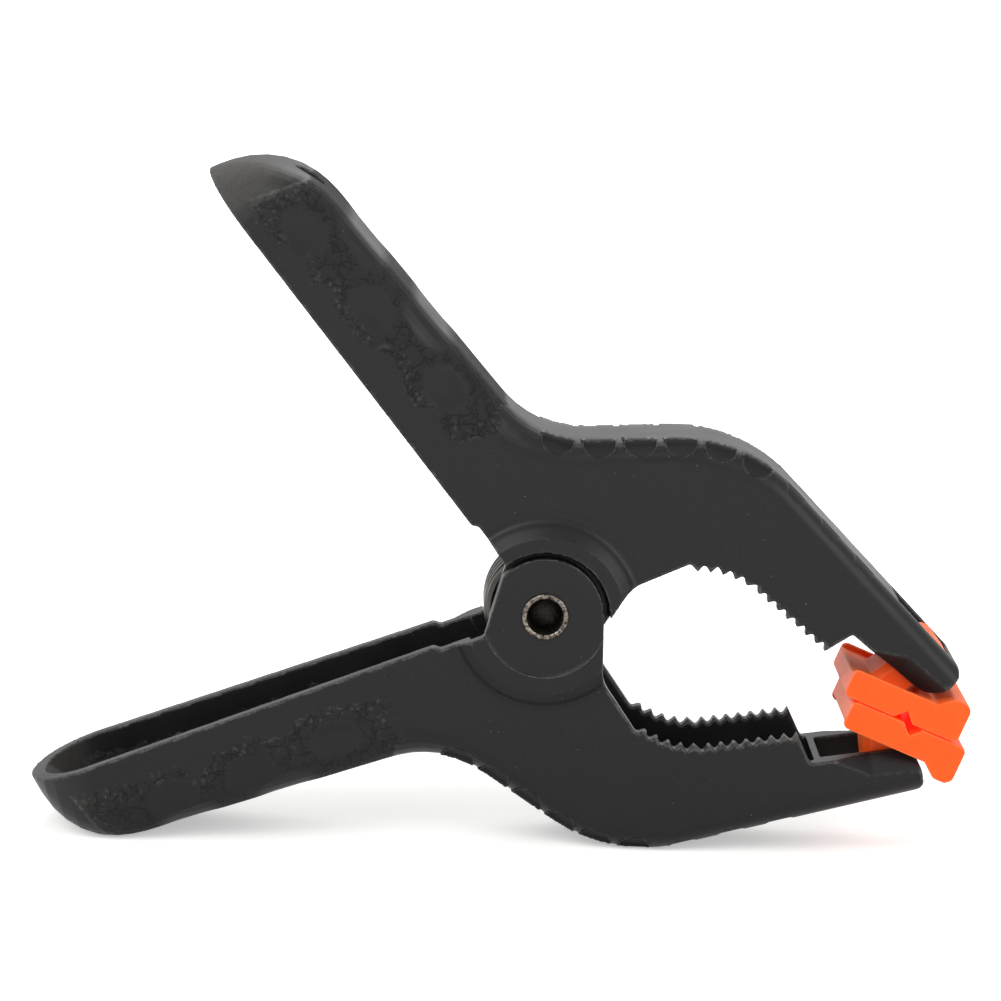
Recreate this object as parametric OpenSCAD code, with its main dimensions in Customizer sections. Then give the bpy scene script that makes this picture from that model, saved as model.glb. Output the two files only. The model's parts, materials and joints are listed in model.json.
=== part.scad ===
// Spring clamp with two moulded arms, swivelling jaw pads, a hinge rivet and a torsion spring.
//
// Both arms come from one mould: the lower arm is the upper arm turned half a turn about the
// centre line of the clamp. In an arm's own frame the hinge axis is Y through the origin,
// +X runs along the centre line towards the jaws and +Z points from the centre line to the
// arm's back. An arm is drawn in its mould frame, turned by draw_angle, in which U runs along
// the arm and N is the direction in which the mould opens.

/* [Handle] */
// Length of the handle from the hinge axis to its tail, along the rim
handle_len = 93; // [75:0.1:115]
// Angle between the handle rim and the centre line
handle_angle = 36.2; // [33:0.1:39]
// Height of the handle from rim to back, half way along
handle_depth = 15.7; // [13:0.1:18]
// Angle by which the back closes in on the rim towards the tail
handle_taper = 2.7; // [1:0.1:4]
// Distance by which the handle rim passes below the hinge axis
rim_drop = 0.8; // [0.4:0.1:1.2]
// Distance from the hinge axis to the step in the rim
rim_step_at = 19.6; // [17:0.1:24]
// Width of the handle where it leaves the hub
handle_w_root = 22.2; // [21.6:0.1:24]
// Width of the handle at its tail
handle_w_tail = 28.6; // [26:0.1:34]
// Length of the rounded tail in plan
tail_round = 11; // [8:0.1:14]
// Radius of the tail's back seen from the side
tail_back_r = 17.8; // [16.5:0.1:20]

/* [Jaw] */
// Width of the jaw across both walls
jaw_w = 21.5; // [20.5:0.1:22.2]
// Distance from the hinge axis to the line of the jaw's tip
jaw_len = 58.5; // [58:0.1:60]
// Angle between the row of teeth and the centre line
jaw_angle = 24; // [23:0.1:25]
// Angle between the jaw's back and the centre line
jaw_back_angle = 30.3; // [29:0.1:31.5]
// Distance from the hinge axis to the line of the jaw's back
jaw_back = 45.1; // [44.6:0.1:47]
// Angle at which the back rises from the hub to the hump
rise_angle = 18.3; // [15:0.1:20]
// Distance from the hinge axis to the rising part of the back
hub_back = 29; // [27:0.1:30]
// Radius of the hollow between handle and hub
valley_r = 18; // [12:0.5:20]
// Radius of the hump
hump_r = 27; // [24:0.5:31]
// Radius of the row of teeth round the throat
throat_r = 15; // [14.5:0.1:15.5]
// Distance from the hinge axis to the centre of the throat
throat_x = 26.9; // [26.5:0.1:27.5]
// Angle of the ear's edge that runs up to the throat
ear_edge_angle = 73.8; // [70:0.1:76]
// Angle of the straight edge between the ear and the first tooth
throat_angle = 34.3; // [33:0.1:36]
// Radius between the ear's edge and the throat
ear_root_r = 6.5; // [2:0.5:8]
// Number of teeth on the straight part of the jaw
straight_teeth = 8; // [5:1:8]
// Number of teeth round the throat
throat_teeth = 5; // [2:1:6]
// Distance between neighbouring teeth
tooth_pitch = 2.155; // [1.9:0.005:2.2]
// Height of a tooth
tooth_h = 1.4; // [1:0.1:1.8]
// Distance from the last tooth to the notch behind it
notch_run = 1.7; // [1.2:0.1:2.5]
// Distance from the line of the teeth back to the pad's seat
seat_depth = 5.4; // [4.7:0.1:5.6]
// Radius of the jaw tip on the pad's side
tip_seat_r = 4.25; // [4:0.05:4.8]
// Turn of the jaw tip's end from square to the row of teeth
tip_turn = 3; // [0:0.5:8]
// Radius of the jaw tip on the back
tip_back_r = 2; // [1:0.1:2.5]
// Height of the bevel on each side of the jaw tip
tip_bevel_h = 3.4; // [2:0.1:4]
// Depth of the bevel on each side of the jaw tip
tip_bevel_d = 2.6; // [1.6:0.1:2.8]
// Length over which that bevel begins
tip_bevel_run = 6; // [3:0.5:9]

/* [Moulding] */
// Thickness of the walls and of the back
wall_t = 2.6; // [2.2:0.1:3]
// Radius of the handle's long back edges
handle_edge_r = 5.5; // [4:0.1:6.5]
// Radius of the jaw's long back edges
jaw_edge_r = 3.4; // [2:0.1:4]
// Tilt of the mould's opening direction from the arm's Z
draw_angle = 30; // [26:0.5:34]
// Radius of the grip pockets along both edges of the jaw's back, seen from the side
pocket_r = 2.7; // [2:0.1:3]
// Depth of the grip pockets, from the side
pocket_depth = 5.5; // [3:0.1:6]
// Distance from the back to the lower edge of a grip pocket on the side
pocket_drop = 2.5; // [2:0.1:3.2]
// Depth of a grip pocket's inner end below the back
pocket_sink = 0.7; // [0.3:0.1:1]
// Number of deep grip pockets along each edge of the hump
pocket_count = 6; // [5:1:6]
// Distance between the deep grip pockets
pocket_pitch = 6.9; // [6.2:0.1:7]
// Number of shallow grip pockets in front of them
front_pocket_count = 3; // [0:1:3]
// Distance between the shallow grip pockets
front_pocket_pitch = 8.5; // [7:0.1:8.6]
// Radius of the hanging hole in each handle
hang_r = 3; // [2:0.1:4]

/* [Hinge] */
// Radius of the outer ear
ear_r = 9.9; // [9.4:0.1:10.4]
// Radius of the inner ear
inner_ear_r = 9.5; // [8.6:0.1:9.8]
// Gap around the outer ear in the recess of the other arm
recess_gap = 1; // [0.7:0.1:1.4]
// Thickness of the outer ear
ear_t = 2.45; // [2.2:0.05:2.8]
// Running gap between the ears of the two arms
ear_gap = 0.2; // [0.15:0.05:0.4]
// Depth by which the outer ear lies below the raised hub
ear_sink = 0.3; // [0.1:0.1:0.5]
// Radius of the flat top of the raised hub
hub_r = 13.3; // [12.8:0.1:14]
// Height of the raised hub above the jaw's sides
hub_rise = 2.45; // [2.3:0.05:2.6]
// Width of the slope from the raised hub down to the wall
hub_slope = 3.4; // [2:0.1:4]
// Radius of the rivet's shank
rivet_r = 3.6; // [3.2:0.05:4]
// Radial gap between the shank and the ears that turn on it
rivet_fit = 0.05; // [0.02:0.01:0.09]
// Radius of the rivet's head
rivet_head_r = 5.6; // [5:0.1:6.5]
// Height of the rivet's head
rivet_head_h = 1.3; // [1:0.1:1.8]
// Radius of the hole in the rivet's tail
rivet_bore_r = 3; // [2.5:0.05:3]
// Depth of the hole in the rivet's tail
rivet_bore_depth = 6; // [4:0.1:9]
// Height of the rolled lip on the rivet's tail
rivet_lip_h = 0.55; // [0.3:0.05:0.8]

/* [Spring] */
// Thickness of the spring wire
wire_d = 2.4; // [2:0.05:2.5]
// Outer radius of the spring coil
coil_r = 10.3; // [9.8:0.05:10.5]
// Distance between neighbouring turns
coil_pitch = 2.95; // [2.93:0.01:3.0]
// Whole turns between the two legs
coil_turns = 4; // [2:1:4]
// Length of each leg
leg_len = 34; // [28:0.5:38]
// Gap left between each leg's end and the back that it presses on
leg_gap = 0.25; // [0.15:0.05:0.4]

/* [Pads] */
// Length of a pad from its swivel axis back towards the teeth
pad_back = 10.2; // [9:0.1:10.4]
// Length of a pad from its swivel axis forward to its end
pad_front = 10.9; // [10.6:0.1:11.5]
// Width of a pad
pad_w = 22; // [21:0.1:23]
// Distance of the swivel axis from the end of the jaw, along the jaw
pad_axis_at = 5.7; // [5.5:0.1:6]
// Height of the swivel axis above the pad's seat
pad_axis_up = 2.6; // [2.5:0.1:3]
// Thickness of the cheeks on both sides of the pad
pad_t = 4.9; // [4.5:0.1:5]
// Thickness of the pad between its cheeks, under the jaw tip
pad_floor_t = 4; // [3.5:0.1:4.1]
// Width of each cheek
cheek_w = 1.2; // [1:0.1:1.5]
// Height of the lobe in front of the jaw tip, from the pad's face
lobe_h = 6.9; // [6.5:0.1:7.4]
// Distance from the swivel axis to the foot of the lobe
lobe_at = 5.2; // [5:0.1:5.5]
// Radius of the pad's corners seen from the side
pad_round = 1; // [0.4:0.1:1.4]
// Gap between the faces of both pads in the closed jaws
pad_gap = 0.3; // [0.3:0.05:0.6]
// Turn of both pads in the closed jaws
pad_turn = 6.8; // [5:0.1:7.5]
// Depth of the V groove across the pad's face
v_depth = 1.75; // [1:0.05:2.2]
// Distance of that groove from the swivel axis
v_at = 0.9; // [0:0.1:2]
// Depth of the V groove along the middle of the pad's face
v_long_depth = 1.2; // [0.6:0.1:1.6]
// Width of the pad's stem
stem_w = 12.9; // [11:0.1:13.1]
// Gap between the stem and the sides of its slot
stem_gap = 0.3; // [0.25:0.05:0.4]
// Radius of the pad's swivel pins
pin_r = 1.4; // [1.2:0.05:1.6]
// Length of each swivel pin
pin_len = 1.9; // [1.5:0.1:2]
// Radial gap of the swivel pins in the jaw
pin_fit = 0.05; // [0.02:0.01:0.09]

/* [Hidden] */

$fn = 64;
eps = 0.01;
far = 60;
arc_sag = 0.02;

arm_colour = [0.11, 0.11, 0.115];
steel_colour = [0.72, 0.71, 0.69];
pad_colour = [1.0, 0.37, 0.14];

// ---- Plane geometry ----

function unit(angle) = [cos(angle), sin(angle)];
function flat_cross(a, b) = a[0] * b[1] - a[1] * b[0];
function direction_of(v) = atan2(v[1], v[0]);

// A line is kept as the angle of its normal and its distance from the origin along it.
function meet(a, b) =
    let (n = unit(a[0]), m = unit(b[0]), d = flat_cross(n, m))
    [(a[1] * m[1] - b[1] * n[1]) / d, (n[0] * b[1] - m[0] * a[1]) / d];

function on_line(line, along) = line[1] * unit(line[0]) + along * unit(line[0] - 90);
function along_line(line, p) = p * unit(line[0] - 90);

// Points on an arc, so close that its chords stay within arc_sag of it.
function arc_points(centre, r, from, to) =
    let (n = max(2, ceil(abs(to - from) / (2 * acos(1 - arc_sag / r)))))
    [for (i = [0:n]) centre + r * unit(from + (to - from) * i / n)];

// Centre and end angles of the arc that rounds the corner where line a runs into line b.
// side is 1 where the material lies against the normals, and -1 in a hollow.
function corner_centre(a, b, r, side) = meet([a[0], a[1] - side * r], [b[0], b[1] - side * r]);
function corner(a, b, r, side) =
    let (c = corner_centre(a, b, r, side), turn = side > 0 ? 0 : 180)
    arc_points(c, r, a[0] + turn, b[0] + turn);

// A point of the arm frame written in the mould frame, and a whole list of them.
function to_mould(p) =
    [p[0] * cos(draw_angle) - p[1] * sin(draw_angle),
     p[0] * sin(draw_angle) + p[1] * cos(draw_angle)];
function all_to_mould(list) = [for (p = list) to_mould(p)];

// ---- Outline of an arm, seen along the hinge axis ----

rim = [90 - handle_angle, -rim_drop];
root_rim = [90 - handle_angle, 0];
handle_half_at = handle_len * 0.55;
handle_back =
    let (mid = on_line([rim[0], handle_depth - rim_drop], -handle_half_at),
         a = rim[0] + handle_taper)
    [a, mid * unit(a)];
rise_back = [90 + rise_angle, hub_back];
jaw_back_line = [90 - jaw_back_angle, jaw_back];
throat_at = [throat_x, 0];
teeth_line = [90 - jaw_angle, throat_x * sin(jaw_angle) + throat_r];
seat_line = [teeth_line[0], teeth_line[1] + seat_depth];
end_line = [-jaw_angle - tip_turn, jaw_len];

tail = on_line(rim, -handle_len);
// The tail's arc runs through the tail and touches the handle's back.
tail_inset = handle_back[1] - tail * unit(handle_back[0]);
tail_centre =
    on_line([handle_back[0], handle_back[1] - tail_back_r],
        along_line(handle_back, tail)
        + sqrt(pow(tail_back_r, 2) - pow(tail_inset - tail_back_r, 2)));
hump_centre = corner_centre(rise_back, jaw_back_line, hump_r, 1);

back_path = concat(
    arc_points(tail_centre, tail_back_r, direction_of(tail - tail_centre), handle_back[0]),
    corner(handle_back, rise_back, valley_r, -1),
    corner(rise_back, jaw_back_line, hump_r, 1),
    [meet(jaw_back_line, end_line)]);

straight_start = 0.3;
last_tooth = straight_start + (straight_teeth - 1) * tooth_pitch;
throat_step = tooth_pitch / throat_r * 180 / PI;
tooth_half = tooth_pitch / 2;

function straight_point(run, height) =
    on_line([teeth_line[0], teeth_line[1] + height],
        along_line(teeth_line, throat_at) + run);
function throat_point(turn, height) =
    throat_at + (throat_r + height) * unit(teeth_line[0] + turn);

throat_row = [for (i = [throat_teeth:-1:1]) each [
    throat_point((i + 0.5) * throat_step, tooth_h),
    throat_point(i * throat_step, 0)]];
straight_row = [for (i = [0:straight_teeth - 1]) each [
    straight_point(straight_start + i * tooth_pitch - tooth_half, tooth_h),
    straight_point(straight_start + i * tooth_pitch, 0)]];
notch = straight_point(last_tooth + notch_run, seat_depth);

// Lines with the normal on the open side: those that lead from the throat's end down to the
// ear, the pad's seat, the flat on the ear towards the tail, and the edge of an ear of radius r.
throat_edge = [throat_angle - 90, 0];
seat_edge = [seat_line[0] - 180, -seat_line[1]];
ear_flat_share = 0.89;
ear_side = [180, ear_r * ear_flat_share];
function ear_edge(r) = [ear_edge_angle - 90, r];

// The front runs from the tail along the rim, round an ear of radius r and through the
// throat and the teeth to the jaw tip.
function front_path(r) = concat(
    [tail, on_line(rim, -rim_step_at), on_line(root_rim, -rim_step_at + 1),
     meet(root_rim, ear_side)],
    arc_points([0, 0], r, 180 + acos(ear_side[1] / r), 360 + ear_edge(r)[0]),
    corner(ear_edge(r), throat_edge, ear_root_r, -1),
    throat_row, straight_row, [notch],
    corner(seat_edge, end_line, tip_seat_r, 1),
    corner(end_line, jaw_back_line, tip_back_r, 1));

// All that lies behind the front path, closed well outside the arm.
module front_outline(r) {
    path = front_path(r);
    polygon(concat(path, [path[len(path) - 1] + far * unit(jaw_back_line[0]),
        [-2 * far, 2 * far], [-2 * far, tail[1]]]));
}

// ---- Moulded arm ----

hub_y = jaw_w / 2 + hub_rise;
outer_ear_y = hub_y - ear_sink;
outer_ear_in_y = outer_ear_y - ear_t;
inner_ear_y = outer_ear_in_y - ear_gap;
inner_ear_in_y = inner_ear_y - ear_t;
recess_r = ear_r + recess_gap;
ear_border = 0.5;

tail_u = to_mould(tail)[0];
root_u = to_mould(on_line(rim, -rim_step_at))[0];
hub_blend_run = 9;
edge_blend_run = 22;
hub_u = root_u + hub_blend_run;
tip_u = to_mould(meet(jaw_back_line, end_line))[0];
back_profile = all_to_mould(back_path);
blank_low = -ear_r - 6;

function back_n(u) = lookup(u, back_profile);
function flare(u) = max(0, min(1, (root_u - u) / (root_u - tail_u - tail_round)));
function hub_blend(u) = max(0, min(1, (hub_u - u) / (hub_u - root_u)));
function straight_half_w(u) =
    jaw_w / 2 + hub_blend(u) * (handle_w_root - jaw_w) / 2
    + flare(u) * (handle_w_tail - handle_w_root) / 2;
function half_w(u, inset) =
    let (run = min(1, max(0, (u - tail_u - inset) / (tail_round - inset))))
    (straight_half_w(u) - inset) * sqrt(1 - pow(1 - run, 2));
function edge_r(u) =
    let (k = max(0, min(1, (u - hub_u) / edge_blend_run)))
    handle_edge_r + (jaw_edge_r - handle_edge_r) * k;

tail_steps = 7;
tail_first_step = 0.6;
arm_steps = 60;
blank_over = 3;
blank_stations = concat(
    [for (i = [tail_first_step:1:tail_steps]) tail_u + tail_round * (1 - cos(90 * i / tail_steps))],
    [for (i = [0:arm_steps]) tail_u + tail_round
        + (tip_u + blank_over - tail_u - tail_round) * i / arm_steps]);
edge_steps = 6;
most_edge_share = 0.85;

// One rib of the blank: a closed loop round the arm at one station.
function blank_ring(u) =
    let (w = half_w(u, 0), top = back_n(u), low = blank_low,
         r = min(edge_r(u), most_edge_share * w),
         right = [for (i = [0:edge_steps]) [w - r + r * cos(90 * i / edge_steps),
             top - r + r * sin(90 * i / edge_steps)]])
    concat([[u, w, low]], [for (p = right) [u, p[0], p[1]]],
        [for (i = [edge_steps:-1:0]) [u, -right[i][0], right[i][1]]], [[u, -w, low]]);

// A closed skin over a list of equal rings.
module skin(rings) {
    n = len(rings[0]);
    last = len(rings) - 1;
    polyhedron(
        points = [for (ring = rings) each ring],
        faces = concat(
            [[for (j = [0:n - 1]) j]],
            [for (i = [0:last - 1]) for (j = [0:n - 1]) let (k = (j + 1) % n) each [
                [i * n + j, (i + 1) * n + j, (i + 1) * n + k],
                [i * n + j, (i + 1) * n + k, i * n + k]]],
            [[for (j = [n - 1:-1:0]) last * n + j]]));
}

// Turns a shape drawn with U, Y and N as its axes into the arm frame.
module in_mould() rotate([0, draw_angle, 0]) children();

// Extrudes a plane outline of the arm frame across the arm, from y0 to y1.
module across(y0, y1) translate([0, y1, 0]) rotate([90, 0, 0]) linear_extrude(y1 - y0) children();

// Extrudes a plane shape drawn in U and Y along N.
module along_draw(n0, n1) translate([0, 0, n0]) linear_extrude(n1 - n0) children();

cavity_end_u = to_mould(notch)[0] + 0.8;
cavity_over = 6;
cavity_profile =
    let (n = len(back_profile) - 1)
    [for (i = [0:n])
        let (a = back_profile[max(0, i - 1)], b = back_profile[min(n, i + 1)],
             t = direction_of(b - a))
        if (back_profile[i][0] < cavity_end_u + cavity_over) back_profile[i] - wall_t * unit(t + 90)];

// The hollow under the back, open towards the rim and the teeth.
module cavity() {
    plan_u = [for (i = [0:tail_steps]) tail_u + wall_t
        + (tail_round - wall_t) * (1 - cos(90 * i / tail_steps))];
    plan = concat([for (u = plan_u) [u, half_w(u, wall_t)]],
        [for (u = [root_u, hub_u, cavity_end_u]) [u, half_w(u, wall_t)]]);
    in_mould() intersection() {
        along_draw(-far, far)
            polygon(concat(plan, [for (i = [len(plan) - 1:-1:1]) [plan[i][0], -plan[i][1]]]));
        across(-far, far)
            polygon(concat([[tail_u, -far]], cavity_profile, [[far, cavity_profile[
                len(cavity_profile) - 1][1]], [far, -far]]));
    }
}

// A disc on one side of the arm, between two distances from the middle plane.
module side_disc(side, y0, y1, r0, r1) {
    rotate([-90 * side, 0, 0]) translate([0, 0, y0]) cylinder(r1 = r0, r2 = r1, h = y1 - y0);
}

module hub_cone(side) {
    wall_y = jaw_w / 2 - wall_t / 2;
    side_disc(side, jaw_w / 2, hub_y, hub_r + hub_slope, hub_r);
    side_disc(side, wall_y, jaw_w / 2, hub_r + hub_slope, hub_r + hub_slope);
}

// The side of the arm that carries the outer ear: everything within reach of the other
// arm's inner ear is cleared from the inside.
module outer_ear_side() {
    difference() {
        intersection() {
            hub_cone(1);
            across(0, far) front_outline(ear_r);
        }
        side_disc(1, 0, outer_ear_in_y, hub_r, hub_r);
        side_disc(1, outer_ear_y, far, ear_r + ear_border, ear_r + ear_border);
    }
}

// The side with the inner ear, at the bottom of the round recess for the other arm's ear.
module inner_ear_side() {
    difference() {
        intersection() {
            union() {
                hub_cone(-1);
                side_disc(-1, inner_ear_in_y, jaw_w / 2, hub_r, hub_r);
            }
            across(-far, 0) front_outline(inner_ear_r);
        }
        side_disc(-1, inner_ear_y, far, recess_r, recess_r);
    }
}

// The swivel axis of the pad, and the pad's slot, which opens in the mould's direction.
pad_axis =
    on_line([seat_line[0], seat_line[1] + pad_axis_up],
        along_line(seat_line, meet(seat_line, end_line)) - pad_axis_at);
pad_axis_m = to_mould(pad_axis);
slot_ahead = 3.6;
slot_behind = 10.5;
slot_front = pad_axis_m[0] + slot_ahead;
slot_back = pad_axis_m[0] - slot_behind;
slot_w = stem_w + 2 * stem_gap;
pin_hole_w = stem_w + 2 * (pin_len + stem_gap);

module pad_slot() {
    in_mould() translate([slot_back, -slot_w / 2, 0]) cube([slot_front - slot_back, slot_w, far]);
    translate([pad_axis[0], pin_hole_w / 2, pad_axis[1]]) rotate([90, 0, 0])
        cylinder(r = pin_r + pin_fit, h = pin_hole_w);
}

// A point of the tip given by its distance along the seat, its side distance and its height.
function tip_point(run, y, up) =
    let (p = on_line([seat_line[0], seat_line[1] + up], run)) [p[0], y, p[1]];

// The slanted face that narrows one side of the tip towards the pad. Its cutter runs past
// both edges of the face by a share of the face, and stands off the side by bevel_out.
bevel_start = along_line(seat_line, notch) + 4;
bevel_end = along_line(seat_line, meet(seat_line, end_line)) + 3;
bevel_over = 0.2;
bevel_out = 1;
bevel_least = 0.02;
module tip_bevel(side) {
    stations = [[bevel_start, bevel_least], [bevel_start + tip_bevel_run, 1], [bevel_end, 1]];
    rings = [for (s = stations)
        let (deep = s[1] * tip_bevel_d, high = s[1] * tip_bevel_h, y = jaw_w / 2) [
        tip_point(s[0], side * (y + deep * bevel_over), high * (1 + bevel_over)),
        tip_point(s[0], side * (y - deep * (1 + bevel_over)), -high * bevel_over),
        tip_point(s[0], side * (y + deep + bevel_out), -high * bevel_over - bevel_out),
        tip_point(s[0], side * (y + deep + bevel_out), high * (1 + bevel_over))]];
    skin(side > 0 ? rings : [for (i = [len(rings) - 1:-1:0]) rings[i]]);
}

// The point of a path at the distance s from its start, with the direction there.
function point_at(path, s, i = 0) =
    let (d = norm(path[i + 1] - path[i]), t = direction_of(path[i + 1] - path[i]))
    s <= d || i == len(path) - 2
        ? [path[i] + s * unit(t), t]
        : point_at(path, s - d, i + 1);

// The grip pockets follow the back from the hub to the tip, the shallow ones last.
grip_from_x = -11;
grip_path = [for (p = back_path) if (p[0] > grip_from_x) p];
pocket_start = 3;
front_pocket_share = 0.65;
last_deep_at = pocket_start + (pocket_count - 1) * pocket_pitch;
pockets = concat(
    [for (i = [0:pocket_count - 1]) [pocket_start + i * pocket_pitch, 1]],
    [for (i = [1:1:front_pocket_count])
        [last_deep_at + i * front_pocket_pitch, front_pocket_share]]);

// The floor of a pocket rises from its lower edge on the side to its inner end.
module grip_pocket(side, share) {
    inner = jaw_w / 2 - pocket_depth * share;
    outer = inner + 2 * pocket_depth;
    drop = pocket_drop * share;
    sink = pocket_sink * share;
    fall = 2 * (drop - sink) / share;
    intersection() {
        translate([0, 0, pocket_r - drop]) rotate([90, 0, 0])
            cylinder(r = pocket_r, h = far, center = true);
        translate([-pocket_r, 0, 0]) rotate([90, 0, 90]) linear_extrude(2 * pocket_r)
            polygon([for (p = [[inner, far], [inner, -sink], [outer, -sink - fall], [outer, far]])
                [side * p[0], p[1]]]);
    }
}

module grip_pockets(side) {
    for (pocket = pockets) {
        q = point_at(grip_path, pocket[0]);
        translate([q[0][0], 0, q[0][1]]) rotate([0, -q[1], 0]) grip_pocket(side, pocket[1]);
    }
}

hang_angle = 75;
module hang_hole() {
    p = tail_centre + tail_back_r * unit(hang_angle);
    translate([p[0], 0, p[1]]) rotate([0, 90 - hang_angle, 0])
        cylinder(r = hang_r, h = 3 * wall_t, center = true);
}

module arm() {
    color(arm_colour) difference() {
        union() {
            difference() {
                intersection() {
                    in_mould() skin([for (u = blank_stations) blank_ring(u)]);
                    union() {
                        across(0, far) front_outline(ear_r);
                        across(-far, 0) front_outline(inner_ear_r);
                    }
                }
                cavity();
                side_disc(1, -far, far, hub_r, hub_r);
            }
            outer_ear_side();
            inner_ear_side();
        }
        pad_slot();
        for (side = [-1, 1]) tip_bevel(side);
        for (side = [-1, 1]) grip_pockets(side);
        hang_hole();
        rotate([90, 0, 0]) cylinder(r = rivet_r + rivet_fit, h = 2 * far, center = true);
    }
}

// ---- Rivet: head behind the far ears, rolled lip on the near ear ----

module rivet() {
    color(steel_colour) stand() translate([0, -outer_ear_y - rivet_lip_h, 0]) rotate([-90, 0, 0])
        rotate_extrude() polygon(rivet_profile);
}

lip_over = 0.4;
lip_r = rivet_r + lip_over;
head_gap = 0.05;
head_at = 2 * outer_ear_y + rivet_lip_h + head_gap;
head_rim_h = 0.4;
dome_end_angle = 80;
bore_end_share = 0.93;
bore_cone_share = 0.6;
dome_h = rivet_head_h - head_rim_h;
dome_r = (pow(rivet_head_r, 2) + pow(dome_h, 2)) / (2 * dome_h);
rivet_profile = concat(
    [[0, rivet_bore_depth],
     [rivet_bore_r * bore_end_share, rivet_bore_depth - rivet_bore_r * bore_cone_share]],
    arc_points([(rivet_bore_r + lip_r) / 2, rivet_lip_h], (lip_r - rivet_bore_r) / 2, 180, 360),
    [[rivet_r, rivet_lip_h], [rivet_r, head_at], [rivet_head_r, head_at]],
    arc_points([0, head_at + rivet_head_h - dome_r], dome_r,
        acos(rivet_head_r / dome_r), dome_end_angle),
    [[0, head_at + rivet_head_h]]);

// ---- Torsion spring ----

wire_r = wire_d / 2;
coil_mid_r = coil_r - wire_r;
web_in = handle_back[1] - wall_t;
leg_lean = asin((web_in - leg_gap) / norm([coil_r, leg_len])) - atan2(coil_r, leg_len);
leg_turn = handle_back[0] - leg_lean;
coil_sweep = 360 * coil_turns + 2 * leg_turn;
ring_turn = 30;
coil_rings = ceil(coil_sweep / ring_turn);
coil_half = coil_pitch * coil_sweep / 360 / 2;
wire_sides = 6;

// Centre of the wire in the arm frame, k running from 0 at the upper leg to 1 at the lower.
function coil_point(k) =
    let (p = coil_mid_r * unit(leg_turn - k * coil_sweep)) [p[0], -coil_half + 2 * k * coil_half, p[1]];
function leg_point(k, run) =
    let (a = leg_turn - k * coil_sweep, d = (k > 0 ? -1 : 1) * run, p = coil_point(k))
    [p[0] + d * unit(a + 90)[0], p[1], p[2] + d * unit(a + 90)[1]];
wire_path = concat(
    [leg_point(0, leg_len), leg_point(0, wire_d)],
    [for (i = [0:coil_rings]) coil_point(i / coil_rings)],
    [leg_point(1, wire_d), leg_point(1, leg_len)]);

// A hexagonal loop round the wire, square to its path.
function wire_ring(i) =
    let (n = len(wire_path) - 1, a = wire_path[max(0, i - 1)], b = wire_path[min(n, i + 1)],
         t = (b - a) / norm(b - a), side = cross(t, [0, 1, 0]), s = side / norm(side),
         w = cross(t, s))
    [for (j = [0:wire_sides - 1])
        wire_path[i] + wire_r * (cos(360 * j / wire_sides) * s + sin(360 * j / wire_sides) * w)];

module torsion_spring() {
    color(steel_colour) stand() skin([for (i = [0:len(wire_path) - 1]) wire_ring(i)]);
}

// The least gap between wires that are at least half a turn apart along the coil.
half_turn = floor(180 / (coil_sweep / coil_rings));
wire_gaps = [for (i = [0:len(wire_path) - 1 - half_turn])
    for (j = [i + half_turn:len(wire_path) - 1]) norm(wire_path[i] - wire_path[j]) - wire_d];
echo(least_gap_of_the_spring_to_itself = min(wire_gaps));

// ---- Pads ----

// A pad is drawn round its swivel axis, with X along its face and the face below.
face_d = pad_axis[1] * cos(pad_turn) - pad_gap / 2;
cheek_top = pad_t - face_d;
floor_top = pad_floor_t - face_d;
lobe_top = lobe_h - face_d;
lobe_lean = 39;
lobe_round_share = 1.6;
lobe_round = lobe_round_share * pad_round;
lobe_slope = [90 + lobe_lean, [lobe_at, cheek_top] * unit(90 + lobe_lean)];
pad_outline = concat(
    corner([180, pad_back], [90, cheek_top], pad_round, 1),
    [meet([90, cheek_top], lobe_slope)],
    corner(lobe_slope, [90, lobe_top], pad_round, 1),
    corner([90, lobe_top], [0, pad_front], lobe_round, 1),
    corner([0, pad_front], [-90, face_d], pad_round, 1),
    [[v_at + v_depth, -face_d], [v_at, v_depth - face_d], [v_at - v_depth, -face_d]],
    corner([270, face_d], [180, pad_back], pad_round, 1));

// Room for the jaw tip, where the pad is turned furthest towards it.
pad_swing = 10;
tip_clear = 0.3;
tip_centre = corner_centre(seat_edge, end_line, tip_seat_r, 1) - pad_axis;
tip_near = norm(tip_centre) * unit(direction_of(tip_centre) - pad_swing);

// The stem fills its slot but for the swing, with both back edges cut off.
stem_back = -3.3;
stem_front = 2.2;
stem_up = 5.3;
stem_chamfer = 1.3;
stem_foot = 7.5;

module pad() {
    half = stem_w / 2;
    cheek_in = pad_w / 2 - cheek_w;
    v_side = v_long_depth * sqrt(2);
    color(pad_colour) {
        difference() {
            across(-pad_w / 2, pad_w / 2) polygon(pad_outline);
            translate([-pad_back - 1, -cheek_in, floor_top])
                cube([pad_back + 1 + tip_near[0], 2 * cheek_in, pad_t]);
            translate([tip_near[0], cheek_in, tip_near[1]]) rotate([90, 0, 0])
                cylinder(r = tip_seat_r + tip_clear, h = 2 * cheek_in);
            translate([(pad_front - pad_back) / 2, 0, -face_d]) rotate([45, 0, 0])
                cube([2 * pad_front + 2, v_side, v_side], center = true);
        }
        intersection() {
            in_mould() along_draw(-stem_foot, stem_up) polygon([
                [stem_back, half - stem_chamfer], [stem_back + stem_chamfer, half],
                [stem_front, half], [stem_front, -half],
                [stem_back + stem_chamfer, -half], [stem_back, stem_chamfer - half]]);
            translate([-pad_back, -half, floor_top - eps]) cube([2 * pad_back, 2 * half, pad_back]);
        }
        translate([0, half + pin_len, 0]) rotate([90, 0, 0])
            cylinder(r = pin_r, h = 2 * (half + pin_len));
    }
}

// ---- Placing in the frame of the whole clamp ----

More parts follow.
